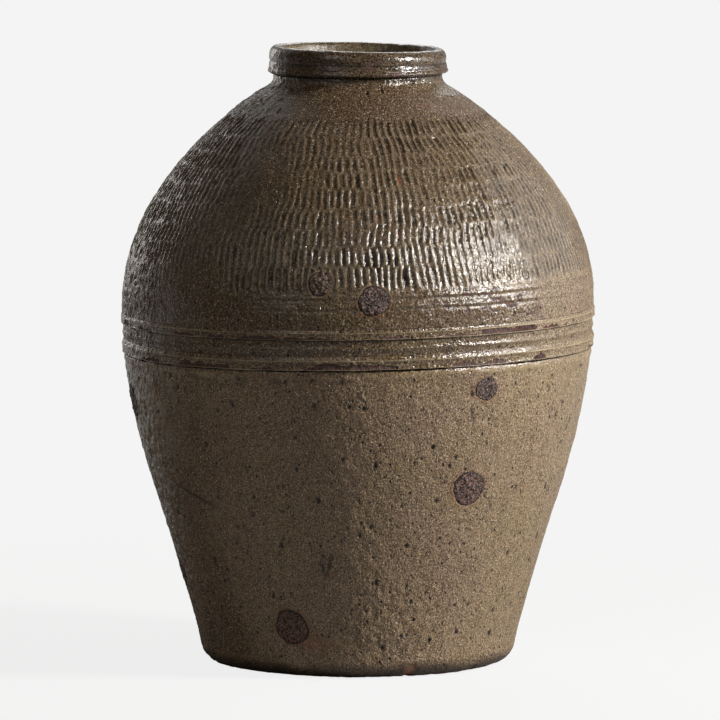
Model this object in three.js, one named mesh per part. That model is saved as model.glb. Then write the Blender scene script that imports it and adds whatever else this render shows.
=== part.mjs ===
// A large glazed stoneware storage jar, built the way a jar maker builds one:
// a floor slab, a lower wall, a shoulder wall, a neck and a rolled rim are made
// separately and luted together with lapped seams, two flattened cordons cover
// the girth, and small clay wads that kept neighbouring jars apart in the kiln
// have left round scars on the glaze.
//
// Millimetres, +Z up. The origin is the middle of the underside. The front of
// the jar faces -Y, and a bearing runs from the front round to +X.

import * as THREE from "three";

// Overall sizes
const jarHeight = 495;
const girthRadius = 189.4;
const girthHeight = 286;
const wallThickness = 11;
const segments = 64;

// Floor slab
const footRadius = 126.7;
const slabThickness = 15;
const footRoundReach = 18;
const locatingStepHeight = 4;

// Handles that shape the lower wall and the shoulder between their ends
const footFlare = 16;
const footPull = 80;
const girthPullDown = 98;
const girthPullUp = 26;
const shoulderReach = 102.5;
const shoulderDrop = 71;

// Neck and rim
const rimHeight = 23;
const neckHeight = 16;
const neckRootRadius = 82.5;
const neckRadius = 67.5;
const throatRadius = 56.5;
const mouthRadius = 59.5;
const rimRadius = 71;
const neckStraight = 2;
const neckHandle = 6;
const neckRootReach = 9;
const neckRootRise = 6;
const rimLandRadius = 64.5;
const rimLandWidth = 2.4;
const rimRollHeight = 9;
const rimRollSlack = 0.8;
const rimLipProud = 0.9;
const rimLipHeight = 3.4;
const rimLipFade = 1;
const rimLipUndercut = 2.4;
const rimGrooveHeight = 10.5;
const rimGrooveDepth = 0.7;
const throatRise = 2;

// Seams: the tongue is the inner part of the wall, up to this share of it
const tongueShare = 0.42;
const lapHeight = 7;
const seamGap = 0.3;
const neckLapHeight = 4;
const rimLapHeight = 5;

// Cordons, with their undersides given from the girth's height
const cordonSeatDepth = 1.8;
const lowerCordonBelowGirth = 34;
const lowerCordonHeight = 10.5;
const lowerCordonProud = 1.3;
const upperCordonBelowGirth = 10;
const upperCordonHeight = 7.7;
const upperCordonProud = 0.9;
const cordons = [
  {
    name: "girth_cordon_lower",
    belowGirth: lowerCordonBelowGirth,
    height: lowerCordonHeight,
    proud: lowerCordonProud,
  },
  {
    name: "girth_cordon_upper",
    belowGirth: upperCordonBelowGirth,
    height: upperCordonHeight,
    proud: upperCordonProud,
  },
];
const seamHeight = girthHeight - cordons[0].belowGirth + cordons[0].height / 2;

// The channel between the cordons, with a low ridge along its middle
const channelDepth = 0.8;
const channelRidgeHalfWidth = 2.5;

// Two turned lines on the shoulder, just above the girth
const turnedLinesAboveGirth = [13, 21];
const turnedLineDepth = 0.8;
const turnedLineHalfWidth = 1.4;
const plainAboveTurnedLines = 4;

// The girth sits out of level: it climbs towards +X by this many mm in each mm
const girthTilt = 0.015;
const fullTiltBelowGirth = 45;
const fullTiltAboveGirth = 25;

// Kiln scars: bearing in degrees, how far up its wall the middle lies, as a share
// of that wall, and how wide and tall it is as a share of a common wad
const wadRadius = 13;
const scarSeatGap = 0.3;
const scarEdgeThickness = 0.7;
const scarMiddleThickness = 1.1;
const scarSides = 14;
const scars = [
  { bearing: -9.1, upShoulder: 0.211, wide: 0.72, tall: 0.77 },
  { bearing: 3.8, upShoulder: 0.13, wide: 0.94, tall: 0.94 },
  { bearing: 33, upLowerWall: 0.92, wide: 0.75, tall: 0.75 },
  { bearing: 31.6, upLowerWall: 0.585, wide: 1.09, tall: 1.12 },
  { bearing: -23.2, upLowerWall: 0.113, wide: 1.11, tall: 1.14 },
  { bearing: -80.5, upLowerWall: 0.84, wide: 1.15, tall: 1.15 },
  { bearing: -81, upLowerWall: 0.246, wide: 0.85, tall: 0.92 },
  { bearing: 118, upLowerWall: 0.764, wide: 1, tall: 1 },
  { bearing: 163, upShoulder: 0.153, wide: 0.85, tall: 0.88 },
  { bearing: -142, upLowerWall: 0.435, wide: 1.04, tall: 1.08 },
];

// Materials
const glazedClay = new THREE.MeshStandardMaterial({
  name: "glazed_clay",
  color: 0x6f6048,
  roughness: 0.42,
  metalness: 0,
});
const wornRim = new THREE.MeshStandardMaterial({
  name: "worn_rim",
  color: 0x564638,
  roughness: 0.34,
  metalness: 0,
});
const bareClay = new THREE.MeshStandardMaterial({
  name: "bare_clay",
  color: 0x4a342c,
  roughness: 0.9,
  metalness: 0,
});
const scarClay = new THREE.MeshStandardMaterial({
  name: "scar_clay",
  color: 0x3d2f2d,
  roughness: 0.95,
  metalness: 0,
});

// Heights that follow from the sizes above
const rimFoot = jarHeight - rimHeight;
const neckFoot = rimFoot - neckHeight;

const at = (radius, height) => new THREE.Vector2(radius, height);

// The outer face of both walls, as two cubic curves that meet upright at the girth
const lowerCurve = new THREE.CubicBezierCurve(
  at(footRadius, slabThickness),
  at(footRadius + footFlare, slabThickness + footPull),
  at(girthRadius, girthHeight - girthPullDown),
  at(girthRadius, girthHeight),
);
const shoulderCurve = new THREE.CubicBezierCurve(
  at(girthRadius, girthHeight),
  at(girthRadius, girthHeight + girthPullUp),
  at(neckRootRadius + shoulderReach, neckFoot - shoulderDrop),
  at(neckRootRadius, neckFoot),
);
const neckCurve = new THREE.CubicBezierCurve(
  at(neckRootRadius, neckFoot),
  at(neckRootRadius - neckRootReach, neckFoot + neckRootRise),
  at(neckRadius, rimFoot - neckStraight - neckHandle),
  at(neckRadius, rimFoot - neckStraight),
);

// The place on the outer face at a height, found by halving
function outerPlace(height) {
  const curve = height < girthHeight ? lowerCurve : shoulderCurve;
  let low = 0;
  let high = 1;
  for (let step = 0; step < 40; step++) {
    const middle = (low + high) / 2;
    if (curve.getPoint(middle).y < height) low = middle;
    else high = middle;
  }
  const share = (low + high) / 2;
  const tangent = curve.getTangent(share);
  return { radius: curve.getPoint(share).x, slope: tangent.x / tangent.y };
}

// The inner face lies one wall thickness in from the outer one, square to it
function innerRadius(height) {
  const { radius, slope } = outerPlace(height);
  return radius - wallThickness * Math.hypot(1, slope);
}

// The girth's tilt, which fades out towards the foot and the neck
function settled(point) {
  const below = THREE.MathUtils.smoothstep(
    point.z,
    slabThickness,
    girthHeight - fullTiltBelowGirth,
  );
  const above = THREE.MathUtils.smoothstep(
    point.z,
    girthHeight + fullTiltAboveGirth,
    neckFoot,
  );
  point.z += girthTilt * point.x * below * (1 - above);
  return point;
}

function settleGeometry(geometry) {
  const places = geometry.getAttribute("position");
  const point = new THREE.Vector3();
  for (let i = 0; i < places.count; i++) {
    settled(point.fromBufferAttribute(places, i));
    places.setXYZ(i, point.x, point.y, point.z);
  }
  geometry.computeVertexNormals();
  return geometry;
}

// A ring, or a disc where the outline touches the axis, turned from an outline
// that runs up the outside and down the inside
function turned(name, outline, material) {
  const closed = outline[0].x > 0 ? [...outline, outline[0]] : outline;
  const geometry = new THREE.LatheGeometry(closed, segments);
  geometry.rotateX(Math.PI / 2);
  const mesh = new THREE.Mesh(settleGeometry(geometry), material);
  mesh.name = name;
  return mesh;
}

// Evenly spaced heights from one to another, with both ends
function heightsBetween(from, to, steps) {
  return Array.from({ length: steps + 1 }, (_, i) =>
    THREE.MathUtils.lerp(from, to, i / steps),
  );
}

const outerFace = (from, to, steps) =>
  heightsBetween(from, to, steps).map((h) => at(outerPlace(h).radius, h));
const innerFace = (from, to, steps) =>
  heightsBetween(from, to, steps).map((h) => at(innerRadius(h), h));

const cordonFoot = (cordon) => girthHeight - cordon.belowGirth;
const cordonTop = (cordon) => cordonFoot(cordon) + cordon.height;
const seatRadius = (height) => outerPlace(height).radius - cordonSeatDepth;

// The middle radius of a lapped seam: the tongue lies inside it
const lapRadius = (height) => innerRadius(height) + tongueShare * wallThickness;

function floorSlab() {
  const stepRadius = innerRadius(slabThickness) - seamGap;
  const edge = heightsBetween(0, Math.PI / 2, 5).map((angle) =>
    at(
      footRadius - footRoundReach * (1 - Math.sin(angle)),
      slabThickness * (1 - Math.cos(angle)),
    ),
  );
  const outline = [
    at(0, 0),
    ...edge,
    at(stepRadius, slabThickness),
    at(stepRadius, slabThickness + locatingStepHeight),
    at(0, slabThickness + locatingStepHeight),
  ];
  return turned("floor_slab", outline, bareClay);
}

function lowerWall() {
  const cordon = cordons[0];
  const foot = cordonFoot(cordon);
  const outline = [
    ...outerFace(slabThickness, foot, 11),
    at(seatRadius(foot), foot),
    at(seatRadius(seamHeight), seamHeight),
    at(lapRadius(seamHeight), seamHeight),
    at(lapRadius(seamHeight), seamHeight + lapHeight),
    ...innerFace(seamHeight + lapHeight, slabThickness, 7),
  ];
  return turned("lower_wall", outline, glazedClay);
}

// Where a turned line cuts the shoulder: down to its bottom and out again
function turnedLine(aboveGirth) {
  const middle = girthHeight + aboveGirth;
  return [
    at(outerPlace(middle - turnedLineHalfWidth).radius, middle - turnedLineHalfWidth),
    at(outerPlace(middle).radius - turnedLineDepth, middle),
    at(outerPlace(middle + turnedLineHalfWidth).radius, middle + turnedLineHalfWidth),
  ];
}

// The channel between the cordons, from the lower cordon's top to the upper one's foot
function channelFace(from, to) {
  const middle = (from + to) / 2;
  const sunk = (height, depth) => at(outerPlace(height).radius - depth, height);
  return [
    sunk(from, channelDepth),
    sunk(middle - channelRidgeHalfWidth, channelDepth),
    sunk(middle, 0),
    sunk(middle + channelRidgeHalfWidth, channelDepth),
    sunk(to, channelDepth),
  ];
}

function shoulderWall() {
  const [lowerCordon, upperCordon] = cordons;
  const lastLine = turnedLinesAboveGirth[turnedLinesAboveGirth.length - 1];
  const plainFrom = girthHeight + lastLine + turnedLineHalfWidth + plainAboveTurnedLines;
  const recess = lapRadius(seamHeight) + seamGap;
  const recessTop = seamHeight + lapHeight + seamGap;
  const tongueRadius = lapRadius(neckFoot);
  const outline = [
    at(recess, seamHeight),
    at(seatRadius(seamHeight), seamHeight),
    at(seatRadius(cordonTop(lowerCordon)), cordonTop(lowerCordon)),
    ...channelFace(cordonTop(lowerCordon), cordonFoot(upperCordon)),
    at(seatRadius(cordonFoot(upperCordon)), cordonFoot(upperCordon)),
    at(seatRadius(cordonTop(upperCordon)), cordonTop(upperCordon)),
    at(outerPlace(cordonTop(upperCordon)).radius, cordonTop(upperCordon)),
    ...turnedLinesAboveGirth.flatMap(turnedLine),
    ...outerFace(plainFrom, neckFoot, 10),
    at(tongueRadius, neckFoot),
    at(tongueRadius, neckFoot + neckLapHeight),
    at(innerRadius(neckFoot), neckFoot + neckLapHeight),
    ...innerFace(neckFoot, recessTop, 9),
    at(recess, recessTop),
  ];
  return turned("shoulder_wall", outline, glazedClay);
}

function girthCordon(cordon) {
  const foot = cordonFoot(cordon);
  const top = cordonTop(cordon) - seamGap;
  const inner = (height) => seatRadius(height) + seamGap;
  const outer = (height, proud) => outerPlace(height).radius + proud;
  const outline = [
    at(outer(foot, 0.7 * cordon.proud), foot),
    at(outer(foot, cordon.proud), foot + 0.2 * cordon.height),
    at(outer(foot, cordon.proud), foot + 0.6 * cordon.height),
    at(outer(top, 0.3 * cordon.proud), top),
    at(inner(top), top),
    at(inner(foot), foot),
  ];
  return turned(cordon.name, outline, glazedClay);
}

function neckRing() {
  const recess = lapRadius(neckFoot) + seamGap;
  const tongueTop = neckFoot + neckLapHeight + seamGap;
  const lap = (throatRadius + neckRadius) / 2 - seamGap / 2;
  const outline = [
    at(neckRootRadius, neckFoot),
    ...neckCurve.getPoints(5).slice(1),
    at(neckRadius, rimFoot),
    at(lap, rimFoot),
    at(lap, rimFoot + rimLapHeight),
    at(throatRadius, rimFoot + rimLapHeight),
    at(throatRadius, tongueTop),
    at(recess, tongueTop),
    at(recess, neckFoot),
  ];
  return turned("neck_ring", outline, glazedClay);
}

function rolledRim() {
  const recess = (throatRadius + neckRadius) / 2 + seamGap / 2;
  const recessTop = rimFoot + rimLapHeight + seamGap;
  const lipRadius = rimRadius + rimLipProud;
  const lipFoot = rimFoot + rimLipUndercut;
  const lipTop = lipFoot + rimLipHeight;
  const grooveMiddle = rimFoot + rimGrooveHeight;
  const rollFoot = jarHeight - rimRollHeight;
  const outerRoll = new THREE.QuadraticBezierCurve(
    at(rimRadius, rollFoot),
    at(rimRadius - rimRollSlack, jarHeight - rimRollSlack),
    at(rimLandRadius + rimLandWidth / 2, jarHeight),
  );
  const innerRoll = new THREE.QuadraticBezierCurve(
    at(rimLandRadius - rimLandWidth / 2, jarHeight),
    at(mouthRadius, jarHeight - rimRollSlack),
    at(mouthRadius, rollFoot),
  );
  const outline = [
    at(neckRadius, rimFoot),
    at(lipRadius, lipFoot),
    at(lipRadius, lipTop),
    at(rimRadius, lipTop + rimLipFade),
    at(rimRadius - rimGrooveDepth, grooveMiddle),
    ...outerRoll.getPoints(4),
    ...innerRoll.getPoints(3),
    at(throatRadius, recessTop + throatRise),
    at(throatRadius, recessTop),
    at(recess, recessTop),
    at(recess, rimFoot),
  ];
  return turned("rolled_rim", outline, wornRim);
}

// A place on the outer face, given by bearing and height, and stood off from it
function wallPoint(bearing, height, standOff) {
  const { radius, slope } = outerPlace(height);
  const length = Math.hypot(1, slope);
  const reach = radius + standOff / length;
  return settled(
    new THREE.Vector3(
      reach * Math.sin(bearing),
      -reach * Math.cos(bearing),
      height - (standOff * slope) / length,
    ),
  );
}

// The height of a scar's middle, from its share of the wall that it lies on
function scarHeight(scar) {
  const [lowerCordon, upperCordon] = cordons;
  if (scar.upShoulder === undefined) {
    return THREE.MathUtils.lerp(slabThickness, cordonFoot(lowerCordon), scar.upLowerWall);
  }
  return THREE.MathUtils.lerp(cordonTop(upperCordon), neckFoot, scar.upShoulder);
}

// A thin domed disc that lies on the curved wall, left by a kiln wad
function kilnScar(scar, index) {
  const bearing = THREE.MathUtils.degToRad(scar.bearing);
  const height = scarHeight(scar);
  const { radius, slope } = outerPlace(height);
  const upShare = 1 / Math.hypot(1, slope);
  const place = (share, angle, standOff) =>
    wallPoint(
      bearing + (share * scar.wide * wadRadius * Math.cos(angle)) / radius,
      height + share * scar.tall * wadRadius * Math.sin(angle) * upShare,
      standOff,
    );
  const shares = [0.55, 1];
  const layers = [
    { base: scarSeatGap, middle: 0, edge: 0 },
    { base: scarSeatGap, middle: scarMiddleThickness, edge: scarEdgeThickness },
  ];
  const points = [];
  for (const layer of layers) {
    points.push(place(0, 0, layer.base + layer.middle));
    for (const share of shares) {
      const thickness = THREE.MathUtils.lerp(layer.middle, layer.edge, share ** 2);
      for (let side = 0; side < scarSides; side++) {
        const angle = (2 * Math.PI * side) / scarSides;
        points.push(place(share, angle, layer.base + thickness));
      }
    }
  }
  const perLayer = 1 + shares.length * scarSides;
  const ring = (layer, row, side) =>
    layer * perLayer + 1 + row * scarSides + (side % scarSides);
  const faces = [];
  for (let side = 0; side < scarSides; side++) {
    const next = side + 1;
    faces.push([perLayer, ring(1, 0, side), ring(1, 0, next)]);
    faces.push([ring(1, 0, side), ring(1, 1, side), ring(1, 1, next)]);
    faces.push([ring(1, 0, side), ring(1, 1, next), ring(1, 0, next)]);
    faces.push([0, ring(0, 0, next), ring(0, 0, side)]);
    faces.push([ring(0, 0, side), ring(0, 1, next), ring(0, 1, side)]);
    faces.push([ring(0, 0, side), ring(0, 0, next), ring(0, 1, next)]);
    faces.push([ring(0, 1, side), ring(0, 1, next), ring(1, 1, next)]);
    faces.push([ring(0, 1, side), ring(1, 1, next), ring(1, 1, side)]);
  }
  const geometry = new THREE.BufferGeometry().setFromPoints(points);
  geometry.setIndex(faces.flat());
  geometry.computeVertexNormals();
  const mesh = new THREE.Mesh(geometry, scarClay);
  mesh.name = `kiln_scar_${index + 1}`;
  return mesh;
}

const jar = new THREE.Group();
jar.add(floorSlab(), lowerWall(), shoulderWall(), neckRing(), rolledRim());
jar.add(...cordons.map(girthCordon));
jar.add(...scars.map(kilnScar));

export default jar;
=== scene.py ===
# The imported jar
# The fixed frame of the jar's clay pieces, as they were turned and luted together.
# Every piece below is set on it, in metres. Sizes of the clay are in millimetres.
from collections import namedtuple

import bpy
import numpy as np
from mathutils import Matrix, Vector


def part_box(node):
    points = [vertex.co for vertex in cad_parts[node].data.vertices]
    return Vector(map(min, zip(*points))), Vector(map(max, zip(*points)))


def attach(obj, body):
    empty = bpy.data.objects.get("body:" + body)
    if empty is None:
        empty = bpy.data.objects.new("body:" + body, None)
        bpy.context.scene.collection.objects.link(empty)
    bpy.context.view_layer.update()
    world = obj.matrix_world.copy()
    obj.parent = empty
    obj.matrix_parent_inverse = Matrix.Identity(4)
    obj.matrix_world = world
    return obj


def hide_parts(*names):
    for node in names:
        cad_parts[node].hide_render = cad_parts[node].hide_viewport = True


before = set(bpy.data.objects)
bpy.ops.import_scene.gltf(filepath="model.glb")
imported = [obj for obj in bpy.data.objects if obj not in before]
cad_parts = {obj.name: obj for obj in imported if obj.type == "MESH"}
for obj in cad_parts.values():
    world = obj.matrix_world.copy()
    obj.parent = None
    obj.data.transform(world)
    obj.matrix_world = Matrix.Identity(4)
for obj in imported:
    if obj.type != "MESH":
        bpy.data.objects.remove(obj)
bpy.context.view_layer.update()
mm = 0.001

# Floor slab
# A disc of coarse brown stoneware clay, cut from the wheel with a cord, with a low step
# on top that locates the wall. Its rounded edge is wiped by hand and only thinly glazed.
foot_radius = 126.7
underside_radius = 108.7
slab_thickness = 15
step_radius = 115.2
step_top = 19
slab_columns = 720
underside_rows = 34
axis_gap = 4
lattice_size = 64
lattice = np.random.default_rng(11).uniform(-1, 1, (lattice_size,) * 3)
cord_middle = (-45, 20)
cord_pitch = 1.9
cord_depth = 0.35

# A small place on the jar, such as a chip or a scar: bearing in degrees, the rest in mm.
Spot = namedtuple("Spot", "bearing height half_width half_height depth", defaults=[0])
foot_chip = Spot(19.7, 5.5, 4.6, 6.5, 2.6)
foot_notch = Spot(50.1, 2.0, 2.6, 4.5, 2.2)


def lumps(places, size, seed=0, stretch=(1, 1, 1)):
    """Smooth lumps about size across, from -1 to 1, that run on from piece to piece."""
    where = places / (np.array(stretch) * size) + 9.37 * seed
    cell = np.floor(where).astype(int)
    inside = where - cell
    inside = inside * inside * (3 - 2 * inside)
    total = np.zeros(places.shape[:-1])
    for corner in np.ndindex(2, 2, 2):
        weight = np.prod(np.where(corner, inside, 1 - inside), axis=-1)
        knot = (cell + corner) % lattice_size
        total += weight * lattice[knot[..., 0], knot[..., 1], knot[..., 2]]
    return total


def eased(value, low, high):
    """0 below low and 1 above high, with soft ends."""
    share = np.clip((value - low) / (high - low), 0, 1)
    return share * share * (3 - 2 * share)


def span(value, start, full, fading, end):
    """1 from full to fading and 0 before start and after end, with soft ends."""
    return eased(value, start, full) * (1 - eased(value, fading, end))


def ridge(value, middle, width):
    """1 at the middle, falling off softly on both sides within about the width."""
    return np.exp(-(((value - middle) / width) ** 2))


def around(outline, columns):
    """The grid of places that a turned outline of (radius, height) sweeps."""
    bearings = np.arange(columns) * 2 * np.pi / columns
    radius = np.asarray(outline, float)[:, :1]
    height = np.asarray(outline, float)[:, 1:] + 0 * bearings
    return np.stack([radius * np.sin(bearings), -radius * np.cos(bearings), height], axis=-1)


def outward(places):
    """The way out of the clay at each place of a turned grid."""
    along = np.gradient(places, axis=0)
    across = np.roll(places, -1, axis=1) - np.roll(places, 1, axis=1)
    out = np.cross(across, along)
    return out / np.maximum(np.linalg.norm(out, axis=-1, keepdims=True), 1e-9)


def bearing_of(places):
    """The bearing in degrees, from the front round to the right."""
    return np.degrees(np.arctan2(places[..., 0], -places[..., 1]))


def turn_from(places, spot):
    """How far round from a spot each place is, in radians, to the right."""
    return np.radians(bearing_of(places) - spot.bearing + 180) % (2 * np.pi) - np.pi


def skin(places, fine=1.0):
    """How far the fired glaze stands out or in: slow dents, lumps, and creases on the left."""
    leftward = -bearing_of(places)
    wrinkled = eased(leftward + 4 * lumps(places, 14, 16), 54, 62)
    wrinkled *= 1 - eased(leftward, 120, 140)
    return (
        0.5 * lumps(places, 38, 1)
        + 0.3 * lumps(places, 11, 2)
        + fine * 0.24 * lumps(places, 4.2, 3, (1, 1, 1.3))
        + fine * 0.18 * lumps(places, 2.4, 4, (1, 1, 1.8))
        + 1.1 * wrinkled * (0.25 - np.abs(lumps(places, 4.2, 14, (1, 1, 1.2))))
        + 0.3 * wrinkled * lumps(places, 2.2, 15)
    )


def dent(places, spot, wobble=0.25):
    """1 in the middle of a chip or pit and 0 outside it, with a ragged edge."""
    sideways = turn_from(places, spot) * np.hypot(places[..., 0], places[..., 1]) / spot.half_width
    upward = (places[..., 2] - spot.height) / spot.half_height
    reach = np.hypot(sideways, upward) * (1 + wobble * lumps(places, 3, 5))
    return 1 - eased(reach, 0.45, 1.05)


def placed(name, data):
    """A new object in the scene that carries a mesh, a lamp or a camera."""
    made = bpy.data.objects.new(name, data)
    bpy.context.scene.collection.objects.link(made)
    return made


def clay_mesh(name, places, traits, finish, ring=True):
    """A smooth closed mesh from a grid of places: a ring, or a disc whose ends meet the axis."""
    rows, columns = places.shape[:2]
    corner = np.arange(rows * columns).reshape(rows, columns)
    beside = np.roll(corner, -1, axis=1)
    faces = np.stack(
        [corner, beside, np.roll(beside, -1, axis=0), np.roll(corner, -1, axis=0)], axis=-1
    )
    points = places.reshape(-1, 3)
    if not ring:
        faces = faces[:-1]
        points = np.vstack([points, places[0].mean(axis=0), places[-1].mean(axis=0)])
    faces = faces.reshape(-1, 4)
    length = np.linalg.norm(np.diff(places, axis=0, append=places[:1]), axis=-1).mean(axis=1)
    travelled = np.concatenate([[0], np.cumsum(length)]) / length.sum()
    row, column = np.divmod(faces[:, 0], columns)
    wrap = np.stack(
        [
            np.stack([column, column + 1, column + 1, column], axis=-1) / columns,
            travelled[np.stack([row, row, row + 1, row + 1], axis=-1)],
        ],
        axis=-1,
    ).reshape(-1, 2)
    loops = faces.ravel()
    totals = np.full(len(faces), 4)
    if not ring:
        first, last = rows * columns, rows * columns + 1
        bottom = np.stack([np.full(columns, first), beside[0], corner[0]], axis=-1)
        top = np.stack([corner[-1], beside[-1], np.full(columns, last)], axis=-1)
        loops = np.concatenate([loops, bottom.ravel(), top.ravel()])
        totals = np.concatenate([totals, np.full(2 * columns, 3)])
        step = np.arange(columns) / columns
        low = np.stack([step, 0 * step, step + 1 / columns, 0 * step, step, 0 * step], axis=-1)
        high = low + [0, 0.99, 0, 0.99, 0, 1]
        wrap = np.vstack([wrap, low.reshape(-1, 2), high.reshape(-1, 2)])
    mesh = bpy.data.meshes.new(name)
    mesh.vertices.add(len(points))
    mesh.vertices.foreach_set("co", (points * mm).astype(np.float32).ravel())
    mesh.loops.add(len(loops))
    mesh.loops.foreach_set("vertex_index", loops.astype(np.int32))
    mesh.polygons.add(len(totals))
    mesh.polygons.foreach_set("loop_start", (np.cumsum(totals) - totals).astype(np.int32))
    mesh.polygons.foreach_set("use_smooth", np.ones(len(totals), bool))
    mesh.update(calc_edges=True)
    bake_map = mesh.uv_layers.new(name="OFBake")
    bake_map.uv.foreach_set("vector", wrap.astype(np.float32).ravel())
    for trait, values in traits.items():
        values = np.broadcast_to(values, (rows, columns)).ravel()
        values = np.concatenate([values, np.zeros(len(points) - len(values))])
        layer = mesh.attributes.new(trait, "FLOAT", "POINT")
        layer.data.foreach_set("value", values.astype(np.float32))
    mesh.materials.append(finish)
    return placed(name, mesh)


def colour(red, green, blue):
    """A colour as it looks on paper, 0 to 255, turned into what a shader takes."""
    share = np.array([red, green, blue]) / 255
    light = np.where(share <= 0.04045, share / 12.92, ((share + 0.055) / 1.055) ** 2.4)
    return (*[float(part) for part in light], 1.0)


def feed(finish, made, socket, value):
    """Gives one input of a shader node a value, or joins another node's output to it."""
    if isinstance(value, bpy.types.NodeSocket):
        finish.node_tree.links.new(value, made.inputs[socket])
    else:
        made.inputs[socket].default_value = value


def node(finish, kind, inputs=None, **settings):
    """One new shader node of a finish, with its settings and inputs."""
    made = finish.node_tree.nodes.new("ShaderNode" + kind)
    for name, value in settings.items():
        setattr(made, name, value)
    for name, value in (inputs or {}).items():
        feed(finish, made, name, value)
    return made


def trait(finish, name):
    return node(finish, "Attribute", attribute_name=name).outputs["Fac"]


def scaled_place(finish, size, stretch, seed):
    """The place on the jar, scaled so that size mm is one step of a pattern."""
    place = node(finish, "TexCoord").outputs["Object"]
    scale = tuple(1 / (size * mm * part) for part in stretch)
    inputs = {"Vector": place, "Location": (seed,) * 3, "Scale": scale}
    return node(finish, "Mapping", inputs).outputs[0]


def mottle(finish, size, detail=2.0, stretch=(1, 1, 1), seed=0.0):
    """Cloudy noise with patches about size mm across, between 0 and 1."""
    where = scaled_place(finish, size, stretch, seed)
    inputs = {"Vector": where, "Scale": 1.0, "Detail": detail, "Roughness": 0.6}
    return node(finish, "TexNoise", inputs).outputs["Fac"]


def between(finish, value, low, high, start=0.0, end=1.0):
    """The value stretched so that low gives start and high gives end."""
    inputs = {"Value": value, "From Min": low, "From Max": high, "To Min": start, "To Max": end}
    return node(finish, "MapRange", inputs).outputs[0]


def sums(finish, operation, first, second):
    return node(finish, "Math", {0: first, 1: second}, operation=operation).outputs[0]


def blended(finish, share, first, second, way="MIX"):
    """The first colour where share is 0 and the second where it is 1."""
    inputs = {0: share, 6: first, 7: second}
    return node(finish, "Mix", inputs, data_type="RGBA", blend_type=way).outputs[2]


def specks(finish, spacing, kept, size, seed=0.0, tall=1.0):
    """Small specks on a random grid: spacing in mm, the share kept, size to spacing."""
    where = scaled_place(finish, spacing, (1, 1, tall), seed)
    cells = node(finish, "TexVoronoi", {"Vector": where, "Scale": 1.0}).outputs
    draw = node(finish, "SeparateColor", {"Color": cells["Color"]}).outputs[0]
    chosen = sums(finish, "GREATER_THAN", draw, 1 - kept)
    dot = between(finish, cells["Distance"], size, 0.7 * size)
    return sums(finish, "MULTIPLY", chosen, dot)


def bare_clay_colour(finish):
    """Fired clay without glaze: purple brown, with rust red clouds and orange grit."""
    cloud = between(finish, mottle(finish, 6, 3, seed=3.1), 0.35, 0.65)
    body = blended(finish, cloud, colour(96, 70, 64), colour(112, 70, 56))
    dark = between(finish, mottle(finish, 1.2, 2, seed=7.7), 0.42, 0.57)
    body = blended(finish, dark, colour(36, 24, 22), body)
    return blended(finish, specks(finish, 2.4, 0.12, 0.3, 5.0), body, colour(158, 96, 68))


def roughened(finish, layers, strength=1.0):
    """The normal that fine relief gives; each layer is noise and its height in mm."""
    total = None
    for noise, height in layers:
        part = sums(finish, "MULTIPLY", noise, height)
        total = part if total is None else sums(finish, "ADD", total, part)
    inputs = {"Strength": strength, "Distance": mm, "Height": total}
    return node(finish, "Bump", inputs).outputs["Normal"]


def new_finish(name):
    finish = bpy.data.materials.new(name)
    finish.use_nodes = True
    return finish, finish.node_tree.nodes["Principled BSDF"]


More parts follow.
